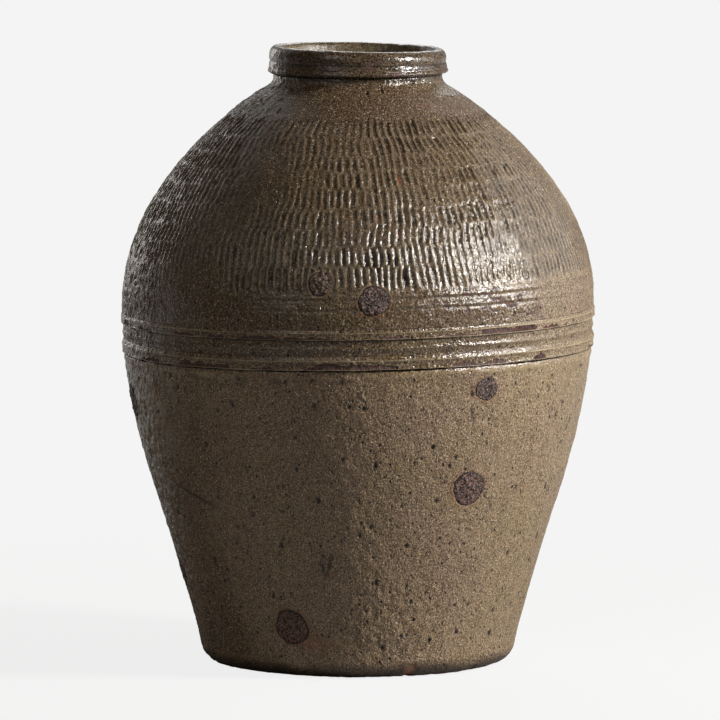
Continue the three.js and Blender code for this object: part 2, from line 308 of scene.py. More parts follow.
def glazed_clay(finish_name):
    """Brown olive ash glaze: speckled and pinholed, deeper and glossier where it is thick, with
    painted glints and painted shade.
    """
    glaze, shader = new_finish(finish_name)
    cloud = between(glaze, mottle(glaze, 60, 3, seed=0.4), 0.35, 0.65)
    patch = between(glaze, mottle(glaze, 8, 3, seed=1.4), 0.38, 0.66)
    grain = between(glaze, mottle(glaze, 1.1, 2, (1, 1, 1.3), 2.4), 0.39, 0.55)
    coarse = between(glaze, mottle(glaze, 2.4, 2, seed=5.1), 0.5, 0.66)
    body = blended(glaze, cloud, colour(163, 140, 103), colour(163, 137, 112))
    body = blended(glaze, sums(glaze, "MULTIPLY", patch, 0.4), body, colour(138, 112, 82))
    brown = sums(glaze, "MULTIPLY", trait(glaze, "brown"), 0.85)
    body = blended(glaze, brown, body, colour(112, 80, 46))
    dark = blended(glaze, brown, colour(84, 64, 48), colour(42, 28, 18))
    dark = blended(glaze, trait(glaze, "deep"), dark, colour(52, 38, 28))
    body = blended(glaze, grain, dark, body)
    coarse_share = between(glaze, trait(glaze, "deep"), 0, 1, 0.3, 0.5)
    body = blended(glaze, sums(glaze, "MULTIPLY", coarse, coarse_share), body, dark)
    bright = between(glaze, mottle(glaze, 1.1, 1, seed=8.2), 0.59, 0.66, 0.0, 0.8)
    body = blended(glaze, bright, body, colour(220, 200, 168))
    # Painted glints: pale specks in the colour of the deep and brown parts, where they stand in for
    # glints of light.
    sparkle = sums(glaze, "MAXIMUM", trait(glaze, "deep"), brown)
    sparkle = sums(glaze, "MULTIPLY", sparkle, specks(glaze, 2.4, 0.3, 0.3, 7.5))
    body = blended(glaze, sparkle, body, colour(232, 214, 184))
    pinhole = specks(glaze, 4.0, 0.35, 0.2, 1.5, 1.3)
    pit = specks(glaze, 8.0, 0.5, 0.15, 6.5, 1.4)
    hole = sums(glaze, "MAXIMUM", pinhole, pit)
    body = blended(glaze, hole, body, colour(20, 13, 11))
    # Painted glints: tiny near-white specks in the colour.
    glint = specks(glaze, 9.0, 0.4, 0.065, 3.5)
    body = blended(glaze, glint, body, colour(240, 234, 222))
    body = blended(glaze, trait(glaze, "deep"), body, colour(208, 206, 207), "MULTIPLY")
    stains = {
        "pale": (0.8, colour(190, 170, 134)),
        "scorch": (0.45, colour(142, 88, 54)),
        "rust": (0.8, colour(150, 84, 58)),
        # Dark in pits, scratches, cracks and glaze pooled in grooves, and also painted shade in
        # creases, under the cordons, at the neck's top and under the rim's lip.
        "dark_hollows_and_shade": (1.0, colour(28, 20, 16)),
    }
    for name, (strength, stain) in stains.items():
        body = blended(glaze, sums(glaze, "MULTIPLY", trait(glaze, name), strength), body, stain)
    bare = trait(glaze, "bare")
    body = blended(glaze, bare, body, bare_clay_colour(glaze))
    broken = blended(glaze, grain, colour(168, 118, 90), colour(214, 168, 136))
    body = blended(glaze, trait(glaze, "chip"), body, broken)
    feed(glaze, shader, "Base Color", body)
    satin = between(glaze, mottle(glaze, 5, 3, seed=6.6), 0.35, 0.65, 0.33, 0.46)
    wet = sums(glaze, "SUBTRACT", trait(glaze, "wet"), bare)
    gloss = sums(glaze, "ADD", satin, sums(glaze, "MULTIPLY", wet, -0.22))
    dull = sums(glaze, "MULTIPLY", bare, 0.35)
    feed(glaze, shader, "Roughness", sums(glaze, "ADD", gloss, dull))
    feed(glaze, shader, "IOR", 1.55)
    feed(glaze, shader, "Specular IOR Level", 0.72)
    relief = [
        (mottle(glaze, 1.5, 2, (1, 1, 1.5), 4.4), 0.7),
        (mottle(glaze, 3.2, 2, seed=7.5), 0.6),
        (hole, -0.8),
    ]
    smoother = between(glaze, wet, 0, 1, 1.0, 0.85)
    feed(glaze, shader, "Normal", roughened(glaze, relief, smoother))
    return glaze


foot_glaze = glazed_clay("foot_glaze")


def bent(first, handle, other_handle, last, count=400):
    """Points on a smooth curve between two places, led by two handles."""
    share = np.linspace(0, 1, count)[:, None]
    weights = ((1 - share) ** 3, 3 * (1 - share) ** 2 * share, 3 * (1 - share) * share**2, share**3)
    points = (first, handle, other_handle, last)
    return sum(weight * np.array(point) for weight, point in zip(weights, points))


rounding = bent(
    (underside_radius, 0), (121.5, 0), (foot_radius - 1.2, 9), (foot_radius, slab_thickness), 24
)
slab_outline = [
    *[(r, 0) for r in np.linspace(axis_gap, underside_radius - 0.6, underside_rows)],
    *rounding,
    (foot_radius, slab_thickness + 0.05),
    (step_radius, slab_thickness),
    (step_radius, step_top),
    *[(r, step_top) for r in np.linspace(step_radius - 2, axis_gap, 12)],
]
edge_rows = underside_rows + len(rounding) + 1
slab = around(slab_outline, slab_columns)
slab_out = outward(slab)
slab_out[edge_rows - 2 : edge_rows] = slab_out[edge_rows - 3]
edge_share = eased(np.hypot(slab[..., 0], slab[..., 1]), underside_radius, underside_radius + 4)
edge_share *= (np.arange(len(slab)) < edge_rows)[:, None]
chip = dent(slab, foot_chip)
notch = dent(slab, foot_notch)
sunk = foot_chip.depth * chip * (1 + 0.5 * lumps(slab, 2.4, 6)) + foot_notch.depth * notch
cord_cut = np.hypot(slab[..., 0] - cord_middle[0], slab[..., 1] - cord_middle[1])
underside = (slab[..., 2] < 0.01) * eased(cord_cut, 20, 40) * (1 - edge_share)
rubbed = 1 - eased(slab[..., 2] + 1.4 * lumps(slab, 6, 8), 1.2, 3.4)
# Painted shade: the glaze turns darker and browner towards the bottom of the rounded foot edge, where
# shade falls under the jar.
shade_under_foot = 1 - eased(slab[..., 2] + 3 * lumps(slab, 14, 9), 3, 15)
slab = slab + slab_out * (edge_share * (skin(slab) - sunk))[..., None]
cord_waves = 1 + np.sin(cord_cut / cord_pitch + 2 * lumps(slab, 30, 7))
slab[..., 2] += underside * cord_depth * cord_waves
slab[..., 2] = np.maximum(slab[..., 2], 0)
slab_traits = {
    "bare": np.clip(1 - edge_share + rubbed, 0, 1),
    "brown": 0.7 * shade_under_foot,
    "dark_hollows_and_shade": 0.7 * shade_under_foot * (1 - 0.6 * rubbed) * edge_share,
    "rust": 0.4 * rubbed * edge_share,
    "chip": np.maximum(chip, 0.7 * notch) * edge_share,
}
floor_disc = clay_mesh("floor_disc", slab, slab_traits, foot_glaze, ring=False)
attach(floor_disc, "root")
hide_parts("floor_slab")

# Lower wall
# Coiled and beaten stoneware, from the foot up to the girth, under a thin ash glaze that
# ran and pinholed in the kiln. Clay wads that touched it have left scorched round scars.
girth_radius = 189.4
girth_height = 286
shoulder_top = 456
neck_root_radius = 82.5
lean_to_right = 0.015
wall_thickness = 11
wall_columns = 1200
row_step = 1.1
seam_height = 257.25
seat_depth = 1.8
lower_inner_rows = 26
scar_seat_depth = 0.45
scar_lip_height = 0.35
Cordon = namedtuple("Cordon", "foot height proud")
lower_cordon = Cordon(foot=252, height=10.5, proud=1.3)
upper_cordon = Cordon(foot=276, height=7.7, proud=0.9)
scar_count = 10
gouge_depth = 1.3
scratch_depth = 1.0
crack_depth = 0.9
crease_depth = 0.9
gouge_legs = [((-11.3, 99), (-10.3, 84.5)), ((-7.8, 103), (-9.8, 84.5))]
scratch_ends = ((-59.5, 151.9), (-42.3, 136.2))
crack_lines = [((28.9, 222), (29.8, 207)), ((31.2, 214), (29.6, 208)), ((28.2, 237), (29.0, 226))]
rough_patch = Spot(14, 48, 46, 42)

lower_curve = bent(
    (foot_radius, slab_thickness),
    (foot_radius + 16, slab_thickness + 80),
    (girth_radius, girth_height - 98),
    (girth_radius, girth_height),
)
shoulder_curve = bent(
    (girth_radius, girth_height),
    (girth_radius, girth_height + 26),
    (185, 385),
    (neck_root_radius, shoulder_top),
)
wall_curve = np.vstack([lower_curve, shoulder_curve[1:]])


def wall_radius(height):
    return np.interp(height, wall_curve[:, 1], wall_curve[:, 0])


def wall_slope(height):
    """How much wider the wall gets in 1 mm of height."""
    return wall_radius(height + 0.5) - wall_radius(height - 0.5)


def inner_radius(height):
    """The inside of the wall, one wall thickness in from the outside and square to it."""
    return wall_radius(height) - wall_thickness * np.hypot(1, wall_slope(height))


def lean(places):
    """How far the girth has settled out of level: it climbs to the right."""
    below = eased(places[..., 2], slab_thickness, girth_height - 45)
    above = eased(places[..., 2], girth_height + 25, shoulder_top)
    return lean_to_right * places[..., 0] * below * (1 - above)


def settled(places):
    places = places.copy()
    places[..., 2] += lean(places)
    return places


def scar_spot(number):
    """Bearing, height and half sizes of a kiln scar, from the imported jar."""
    low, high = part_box(f"kiln_scar_{number}")
    middle = np.array((low + high) / 2) / mm
    size = np.array(high - low) / mm
    height = middle[2] - lean(middle)
    return Spot(bearing_of(middle), height, 0.485 * np.hypot(size[0], size[1]), 0.5 * size[2])


scar_spots = [scar_spot(number) for number in range(1, scar_count + 1)]


def from_scar(places, spot):
    """0 in the middle of a scar and 1 at its edge, and the angle round it."""
    sideways = turn_from(places, spot) * wall_radius(spot.height) / spot.half_width
    upward = (places[..., 2] - spot.height) / spot.half_height
    return np.hypot(sideways, upward), np.arctan2(upward, sideways)


def scar_outline(angle, number):
    """A wad's uneven round edge, as a share of its half size."""
    return (
        1
        + 0.035 * np.sin(2 * angle + number)
        + 0.03 * np.sin(3 * angle + 2.3 * number)
        + 0.02 * np.sin(5 * angle + 4.1 * number)
    )


def scar_marks(places):
    """What the wads did to the glaze: the seat under each, the lip round it, the scorch."""
    seat, lip, scorch = (np.zeros(places.shape[:-1]) for _ in range(3))
    for number, spot in enumerate(scar_spots):
        reach, angle = from_scar(places, spot)
        reach = reach / scar_outline(angle, number)
        seat = np.maximum(seat, 1 - eased(reach, 0.92, 1.02))
        ring = ridge(reach, 1.08, 0.05) * (0.75 + 0.35 * np.sin(angle - 0.8))
        lip = np.maximum(lip, ring)
        halo = span(reach, 0.96, 1.0, 1.02, 1.3)
        scorch = np.maximum(scorch, halo * (0.62 + 0.38 * np.cos(angle + 0.3 + number)))
    return seat, lip, scorch


def line_marks(places, ends, half_width, seed):
    """1 along a ragged line between two places given by bearing and height."""
    (bearing_a, height_a), (bearing_b, height_b) = ends
    radius = wall_radius((height_a + height_b) / 2)
    turn = np.radians(bearing_of(places)) * radius
    a = np.array([np.radians(bearing_a) * radius, height_a])
    b = np.array([np.radians(bearing_b) * radius, height_b])
    flat = np.stack([turn, places[..., 2]], axis=-1)
    share = np.clip(((flat - a) @ (b - a)) / ((b - a) @ (b - a)), 0, 1)
    away = np.linalg.norm(flat - a - share[..., None] * (b - a), axis=-1)
    away = away + 0.8 * lumps(places, 4, seed)
    return (1 - eased(away, 0.35 * half_width, half_width)) * np.sin(np.pi * (0.1 + 0.8 * share))


def pinholes(places, count, seed, heights, sizes, depths):
    """Small pits where gas broke through the glaze, longer upwards than across."""
    draw = np.random.default_rng(seed)
    rows, columns = places.shape[:2]
    levels = places[:, 0, 2]
    pits = np.zeros((rows, columns))
    for _ in range(count):
        height = draw.uniform(*heights)
        column = int(draw.integers(columns))
        size = draw.uniform(*sizes)
        tall = size * draw.uniform(0.9, 2.0)
        depth = draw.uniform(*depths)
        row = int(np.searchsorted(levels, height))
        if row < 3 or row > rows - 4:
            continue
        pitch = 2 * np.pi * wall_radius(height) / columns
        span_c = int(np.ceil(1.3 * size / pitch)) + 1
        span_r = int(np.ceil(1.3 * tall / max(levels[row] - levels[row - 1], 0.3))) + 1
        near_rows = np.arange(max(row - span_r, 0), min(row + span_r + 1, rows))
        near_columns = np.arange(column - span_c, column + span_c + 1)
        sideways = (near_columns - column)[None, :] * pitch / size
        upward = (levels[near_rows] - height)[:, None] / tall
        bowl = depth * (1 - eased(np.hypot(sideways, upward), 0.3, 1.15))
        spot = np.ix_(near_rows, near_columns % columns)
        pits[spot] = np.maximum(pits[spot], bowl)
    return pits


ash_glaze = glazed_clay("ash_glaze")


def brown_side(places):
    """Where the glaze stayed brown: the cooler side of the kiln, on the left, with a weaker painted
    shade across the front left.
    """
    bearing = bearing_of(places)
    drift = 9 * lumps(places, 45, 12)
    side = eased(bearing + drift, -72, -60) * (1 - eased(bearing + 0.3 * drift, -47, -40))
    # Painted shade: a weaker darkening across the front left, where the light from the right fades.
    front_shade = 0.32 * span(bearing, -60, -40, -8, 18)
    return side * (0.7 + 0.3 * lumps(places, 30, 13, (1, 1, 2))) + front_shade * (1 - side)


def glossy_side(places):
    """1 where the glaze is thick and glossy, below 0 where it is thin and dry, on the right."""
    bearing = bearing_of(places) + 9 * lumps(places, 26, 49) + 4 * lumps(places, 7, 50)
    return 1 - 1.9 * span(bearing, 36, 52, 120, 150)


levels = np.arange(slab_thickness + 0.8, lower_cordon.foot - 0.4, row_step)
heights = [slab_thickness, slab_thickness + 0.06, *levels, lower_cordon.foot - 0.1]
lower_outline = [
    *zip(wall_radius(heights), heights),
    (wall_radius(lower_cordon.foot) - 0.3, lower_cordon.foot),
    (wall_radius(lower_cordon.foot) - seat_depth, lower_cordon.foot + 0.1),
    (wall_radius(seam_height) - seat_depth, seam_height),
    *[(inner_radius(z), z) for z in np.linspace(seam_height, slab_thickness + 0.1, lower_inner_rows)],
]
visible_rows = len(heights) + 1
lower = around(lower_outline, wall_columns)
lower_out = outward(lower)
lower_out[:2] = lower_out[2]
shown = (np.arange(len(lower)) < visible_rows)[:, None] * np.ones(wall_columns)
bearing = bearing_of(lower)
seat, lip, scorch = scar_marks(lower)
gouged = sum(line_marks(lower, leg, 2.2, 19) for leg in gouge_legs)
scratched = line_marks(lower, scratch_ends, 1.9, 21)
cracked = sum(line_marks(lower, line, 1.3, 22) for line in crack_lines)
rough = dent(lower, rough_patch, 0.5)
pits = pinholes(lower, 700, 31, (18, 246), (0.9, 1.3), (0.5, 1.1))
pits = np.maximum(pits, pinholes(lower, 130, 32, (20, 246), (1.3, 2.1), (0.9, 1.6)))
crease = eased(lower[..., 2], 249.9, 251.4)
# A rolled lip of glaze just under the lower cordon, raised in the wall. Its paler colour is a painted
# highlight along the lip.
run_lip_and_highlight = ridge(lower[..., 2] - 1.2 * lumps(lower, 16, 26), 247, 2.0)
run_lip_and_highlight *= np.clip(0.6 + 0.7 * lumps(lower, 9, 27, (1, 1, 0.5)), 0, 1)
blister = dent(lower, Spot(1.3, 232, 3.0, 4.0), 0.2)
burst = dent(lower, Spot(1.6, 233, 1.4, 2.4), 0.3)
shaded = eased(lower[..., 2] + 0.5 * lumps(lower, 9, 18), 250.2, 251.6) * shown
raised = skin(lower) + scar_lip_height * lip - scar_seat_depth * seat
raised += 0.8 * run_lip_and_highlight + 0.9 * blister - 1.4 * burst
raised += rough * (0.6 * lumps(lower, 7, 15) + 0.5 * lumps(lower, 3.6, 16))
raised -= pits + gouge_depth * gouged + scratch_depth * scratched
raised -= crack_depth * cracked + crease_depth * crease
lower = settled(lower + lower_out * (shown * raised)[..., None])
gouge_bit = dent(lower, Spot(-9.6, 85.5, 1.8, 2.6))
streak_patch = dent(lower, Spot(72.3, 243, 5, 1.8))
ragged = eased(lumps(lower, 10, 28, (1, 1, 0.22)), 0.25, 0.55) * eased(-bearing, -15, 10)
ragged *= span(lower[..., 2], 234, 242, 247, 250)
streaks = lumps(lower, 6, 23, (1, 1, 9)) + 0.5 * lumps(lower, 2.5, 24, (1, 1, 12))
tan_side = eased(bearing + 3 * lumps(lower, 8, 25, (1, 1, 3)), 29, 36)
stain = dent(lower, Spot(-15.5, 30, 14, 10), 0.8)
wet_top = 0.9 * eased(lower[..., 2] + 14 * lumps(lower, 20, 17), 205, 245) * glossy_side(lower)
# Real dark pits, gouges, scratches and cracks, and painted shade in the crease under the lower cordon.
darkened = 1.1 * pits + 0.75 * gouged + 0.8 * scratched + 0.45 * cracked + 0.85 * shaded
darkened += 0.4 * ragged
wet_left = span(-bearing, 54, 64, 110, 140)
lower_traits = {
    "brown": np.clip(brown_side(lower) * shown, 0, 1),
    "wet": np.maximum(wet_top, wet_left),
    # The lip under the lower cordon is painted pale as a highlight.
    "pale": np.clip(0.08 * tan_side + 0.1 * streaks + 0.5 * run_lip_and_highlight, 0, 1) * shown,
    "scorch": scorch,
    "rust": np.clip(0.9 * gouge_bit + 0.4 * stain, 0, 1),
    "dark_hollows_and_shade": np.clip(darkened, 0, 0.95),
    "bare": np.clip(seat + streak_patch, 0, 1) * shown,
}
lower_wall = clay_mesh("lower_wall_glazed", lower, lower_traits, ash_glaze)
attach(lower_wall, "root")
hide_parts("lower_wall")

# Shoulder wall
# The upper half of the jar, luted to the lower wall at the girth. Two lines are turned in
# above the girth, and a notched roller has been run round it, row by row, up to the neck.
shoulder_columns = 1950
shoulder_step = 1.2
shoulder_inner_rows = 30
inner_top = 452
mark_pitch = 5.7
mark_depth = 1.3
row_edges = [315.3, 333.4, 348.3, 362.6, 378.0, 393.5, 405.5, 416.2, 429.0, 441.4]
turned_lines = (299, 307)
channel_depth = 0.8
channel_rows = 22
channel_ridge = 268.6
band_top = 318
marks_foot = 300


def roller_marks(places, seed=5):
    """The rows of upright notches, each row with its own start, slant and wear."""
    draw = np.random.default_rng(seed)
    bearing = np.arctan2(places[..., 0], -places[..., 1]) % (2 * np.pi)
    climb = 0.012 * places[..., 0]
    wander = 1.3 * lumps(places, 42, 41) + 1.1 * lumps(places, 12, 40)
    height = places[..., 2] - climb - wander
    depth = np.zeros(height.shape)
    for low, high in zip(row_edges, row_edges[1:]):
        count = int(round(2 * np.pi * wall_radius((low + high) / 2) / mark_pitch))
        start, slant = draw.uniform(0, 1), draw.uniform(-0.35, 0.35)
        up = (height - low) / (high - low)
        turn = bearing / (2 * np.pi) * count + start
        turn = turn + slant * (up - 0.5) + 0.3 * lumps(places, 22, 42) + 0.08 * lumps(places, 5, 43)
        index = np.floor(turn).astype(int)
        deep = draw.uniform(0.55, 1.1, count)[index % count]
        bottom = draw.uniform(-0.16, 0.03, count)[index % count]
        top = draw.uniform(0.95, 1.12, count)[index % count]
        half_width = draw.uniform(0.27, 0.38, count)[index % count]
        across = np.abs(turn - index - 0.5)
        notch = 1 - eased(across, 0.4 * half_width, 1.3 * half_width)
        run = span(up, bottom - 0.08, bottom + 0.2, top - 0.24, top + 0.06)
        depth = np.maximum(depth, deep * notch * run)
    return depth * np.clip(0.9 + 0.45 * lumps(places, 4.5, 39, (1, 1, 0.8)), 0, 1.2)


def worn_marks(places):
    """How clearly the notches still show: they fade where the clay was wiped or worn."""
    bearing = bearing_of(places)
    height = places[..., 2]
    clear = 0.82 + 0.5 * lumps(places, 34, 44)
    bald = dent(places, Spot(-30, 398, 34, 34), 0.6)
    clear = clear * (1 - 0.85 * bald)
    clear = clear * (1 - 0.8 * eased(-bearing, 28, 42) * (1 - eased(height, 325, 350)))
    clear = clear * (1 - 0.75 * eased(bearing, 66, 80) * (1 - eased(height, 345, 375)))
    clear = clear * (1 - 0.15 * eased(height, 395, 430))
    return np.clip(clear, 0.04, 1.15)


def turned_line(places, height):
    """A line cut with a stick on the turning jar, with a burr pushed up above it."""
    up = places[..., 2] - height - 0.8 * lumps(places, 50, 45)
    return 0.75 * ridge(up, 0, 1.1) - 0.55 * ridge(up, 2.2, 1.0)


def patches(places, size, level, seed, stretch=(1, 1, 0.4)):
    """Ragged patches where the glaze has come away: 1 inside, 0 outside."""
    cloud = lumps(places, size, seed, stretch) + 0.45 * lumps(places, size / 4, seed + 1)
    return eased(cloud, level, level + 0.09)


channel_foot = lower_cordon.foot + lower_cordon.height
channel_top = upper_cordon.foot
band_foot = upper_cordon.foot + upper_cordon.height
band_heights = np.arange(band_foot, band_top, 0.8)
marked = wall_curve[wall_curve[:, 1] > band_top]
travel = np.concatenate([[0], np.cumsum(np.linalg.norm(np.diff(marked, axis=0), axis=1))])
even = np.linspace(0, travel[-1], int(travel[-1] / shoulder_step))
marked = np.stack([np.interp(even, travel, along) for along in marked.T], axis=-1)
shoulder_outline = [
    (wall_radius(seam_height) - seat_depth, seam_height + 0.2),
    (wall_radius(channel_foot) - seat_depth, channel_foot),
    *[(wall_radius(z), z) for z in np.linspace(channel_foot + 0.1, channel_top - 0.1, channel_rows)],
    (wall_radius(channel_top) - seat_depth, channel_top),
    (wall_radius(band_foot) - seat_depth, band_foot),
    *[(wall_radius(z), z) for z in band_heights],
    *marked[:-1],
    (neck_root_radius + 0.14, shoulder_top - 0.06),
    (neck_root_radius, shoulder_top),
    (neck_root_radius - 10, shoulder_top),
    *[(inner_radius(z), z) for z in np.linspace(inner_top, seam_height + 7, shoulder_inner_rows)],
]
seat_rows = (channel_rows + 2, channel_rows + 3)
shoulder_shown = seat_rows[1] + 1 + len(band_heights) + len(marked)
shoulder = around(shoulder_outline, shoulder_columns)
shoulder_out = outward(shoulder)
row_number = np.arange(len(shoulder))[:, None]
shown = (row_number < shoulder_shown) & (row_number > 1) & ~np.isin(row_number, seat_rows)
shown = shown * np.ones(shoulder_columns)
height = shoulder[..., 2]
bearing = bearing_of(shoulder)
seat, lip, scorch = scar_marks(shoulder)
channel = (height > channel_foot) & (height < channel_top)
mid_ridge = ridge(height - 0.6 * lumps(shoulder, 40, 46), channel_ridge, 1.9)
raised = skin(shoulder, 0.6) - channel * channel_depth * (1 - 1.1 * mid_ridge)
faint = 0.12 + 0.88 * eased(bearing, -50, 20) * (1 - 0.75 * eased(bearing, 42, 62))
faint *= np.clip(0.8 + 0.6 * lumps(shoulder, 12, 29), 0, 1.1)
lines = sum(turned_line(shoulder, line) for line in turned_lines)
raised -= lines * faint * (height > band_foot + 0.3)
notches = roller_marks(shoulder) * worn_marks(shoulder) * (1 - eased(seat + 0.7 * lip, 0, 0.5))
notches *= height > marks_foot
raised -= mark_depth * notches - scar_lip_height * lip + scar_seat_depth * seat
brushed = eased(-bearing, 30, 50) * eased(height, 425, 440)
raised += 0.5 * brushed * lumps(shoulder, 3.2, 47, (1, 1, 3))
pits = pinholes(shoulder[:shoulder_shown], 260, 33, (290, 448), (0.8, 1.6), (0.3, 0.7))
pits = np.vstack([pits, np.zeros((len(shoulder) - shoulder_shown, shoulder_columns))])
raised -= pits
# Painted shade along both edges of the channel, under the upper cordon and above the lower one.
under = eased(height + 0.4 * lumps(shoulder, 9, 48), channel_top - 1.8, channel_top - 0.4) * channel
under += (1 - eased(height, channel_foot + 0.3, channel_foot + 1.5)) * channel
flaked = patches(shoulder, 7, 0.3, 51) * span(bearing, 12, 20, 44, 52)
flaked *= span(height, 286, 288, 309, 313)
raised -= 0.25 * flaked
shoulder = settled(shoulder + shoulder_out * (shown * raised)[..., None])
red_spots = [Spot(12.8, 396, 1.3, 4.5), Spot(5.4, 368.9, 1.2, 2.6), Spot(10.9, 356.7, 1.0, 3)]
rust = sum(dent(shoulder, spot, 0.6) for spot in red_spots)
rust += 0.2 * dent(shoulder, Spot(40, 450, 11, 2.5), 0.9)
level = shoulder[..., 2]
top_brown = 0.3 * eased(level, 330, 400) + 0.3 * eased(level, 430, 450)
side_brown = brown_side(shoulder) * (1 - 0.5 * eased(level, 300, 360))
dry_brown = 0.75 * span(bearing, 38, 50, 85, 110) * eased(level, 300, 340)
ridges = np.clip(worn_marks(shoulder) - notches, 0, 1) * span(level, 313, 318, 434, 440)
thin = eased(bearing, 28, 52) * (1 - 0.8 * eased(level, 305, 345))
dark_notches = (0.9 - 0.35 * eased(level, 355, 400)) * notches
dark_lines = 0.5 * under + pits + 0.3 * np.clip(lines, 0, 1) * faint
shoulder_traits = {
    "brown": np.clip(top_brown + side_brown + dry_brown, 0, 1) * shown,
    "deep": 1 - 0.6 * thin,
    "wet": glossy_side(shoulder),
    "pale": np.clip((0.2 + 0.25 * dry_brown) * ridges + 0.6 * lip, 0, 1) * shown,
    "scorch": scorch,
    "rust": np.clip(rust, 0, 1),
    "dark_hollows_and_shade": np.clip(dark_notches + dark_lines, 0, 0.95),
    "bare": np.clip(np.maximum(seat, flaked), 0, 1) * shown,
}
shoulder_wall = clay_mesh("shoulder_wall_glazed", shoulder, shoulder_traits, ash_glaze)
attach(shoulder_wall, "root")
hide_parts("shoulder_wall")

# Girth cordons
# Two strips of clay laid over the seam and pressed flat, each with a ridge left along its
# top. The glaze is thin on them, and has flaked off in patches down to the clay.
cordon_columns = 1560
widest_radius = 190.1
cordon_shape = [
    (0.00, -0.9), (0.00, 0.45), (0.02, 0.85), (0.06, 1.05),
    (0.11, 1.0), (0.18, 0.78), (0.26, 0.68), (0.38, 0.62),
    (0.52, 0.64), (0.62, 0.82), (0.70, 1.0), (0.76, 0.95),
    (0.84, 0.6), (0.92, 0.28), (1.00, 0.0), (1.08, -0.6),
]


def flaked_up(strip, seed, flakes):
    """How far up its face a strip lost its glaze: as listed in front, at random behind."""
    bearing = bearing_of(strip) + 1.5 * lumps(strip, 6, seed)
    unseen = eased(np.abs(bearing), 66, 76)
    worn = unseen * (0.05 + 1.1 * lumps(strip, 16, seed + 1, (1, 1, 6))) - 0.2 * (1 - unseen)
    for start, end, share in flakes:
        inside = span(bearing, start - 1, start + 1, end - 1, end + 1)
        worn = np.maximum(worn, inside * (share + 0.2) - 0.2)
    ragged = 0.22 * lumps(strip, 5, seed + 2, (1, 1, 2)) + 0.2 * lumps(strip, 1.9, seed + 3)
    return worn + ragged


def girth_cordon(name, cordon, seed, flakes, blisters):
    """One strip: its face, its flaked patches with raised glaze lips, its hidden back."""
    shape = np.array(cordon_shape)
    steps = np.linspace(0, len(shape) - 1, 3 * len(shape))
    up = np.interp(steps, np.arange(len(shape)), shape[:, 0])
    out = np.interp(steps, np.arange(len(shape)), shape[:, 1])
    height = cordon.foot + up * cordon.height
    outline = [(wall_radius(z) + o * cordon.proud, z) for z, o in zip(height, out)]
    outline += [(wall_radius(z) - 1.5, z) for z in (height[-1], height[0])]
    strip = around(outline, cordon_columns)
    strip_out = outward(strip)
    shown = np.zeros(len(strip))
    shown[2 : len(height) - 2] = 1
    shown = shown[:, None] * np.ones(cordon_columns)
    bearing = bearing_of(strip)
    face = np.append(up, [0, 0])[:, None] * np.ones(cordon_columns)
    worn = flaked_up(strip, seed, flakes)
    above = np.minimum(worn, 0.66) - face
    bare = eased(above, -0.02, 0.04) * eased(face, 0.05, 0.09)
    lip = ridge(above, -0.04, 0.05) * eased(worn, 0.08, 0.16)
    raised = 0.6 * skin(strip, 1.4) - 0.36 * bare + 0.38 * lip
    raised += sum(spot.depth * dent(strip, spot, 0.1) for spot in blisters)
    strip = strip + strip_out * (shown * raised)[..., None]
    strip = settled(strip)
    reach = np.hypot(strip[..., 0], strip[..., 1])
    strip[..., :2] *= np.minimum(1, widest_radius / reach)[..., None]
    bead = ridge(face, 0.05, 0.035) + ridge(face, 0.71, 0.045)
    traits = {
        "brown": np.clip(brown_side(strip), 0, 1),
        "deep": 0.8 - 0.5 * eased(bearing, 25, 50),
        "wet": glossy_side(strip),
        # Painted shade: the foot of the strip's face is darkened as the shadow of its undercut.
        "dark_hollows_and_shade": 0.6 * (1 - eased(face, 0.0, 0.03)),
        "bare": bare,
        "pale": np.clip(bead * (0.8 + 0.5 * lumps(strip, 18, seed + 4)) + 0.7 * lip, 0, 1),
        "rust": 0.4 * eased(lumps(strip, 3, seed + 3), 0.55, 0.7) * eased(-bearing, 0, 20),
    }
    piece = clay_mesh(name, strip, traits, ash_glaze)
    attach(piece, "root")
    return piece


def bubble_at(bearing, height, size):
    return Spot(bearing, height, size, size, 0.7)


lower_flakes = [
    (-65, -56, 0.3), (-48, -33, 0.4), (-27, -20, 0.25),
    (-13, 11, 0.42), (24, 39, 0.33), (47, 51, 0.5),
]
upper_flakes = [
    (-66, -60, 0.35), (-50, -42, 0.35), (-38, -33, 0.4), (-29, -3, 0.38),
    (5, 13, 0.42), (20, 29, 0.3), (31, 47.5, 0.7), (50, 60, 0.22),
]
lower_blisters = [bubble_at(19.1, 260, 1.7), bubble_at(16.9, 254.5, 1.9), bubble_at(9.6, 254, 1.3)]
upper_blisters = [bubble_at(12.1, 280.2, 1.8), bubble_at(17.2, 279.2, 1.6), bubble_at(-1.4, 281, 1.2)]
lower_strip = girth_cordon("lower_cordon", lower_cordon, 61, lower_flakes, lower_blisters)
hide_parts("girth_cordon_lower")
upper_strip = girth_cordon("upper_cordon", upper_cordon, 71, upper_flakes, upper_blisters)
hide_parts("girth_cordon_upper")

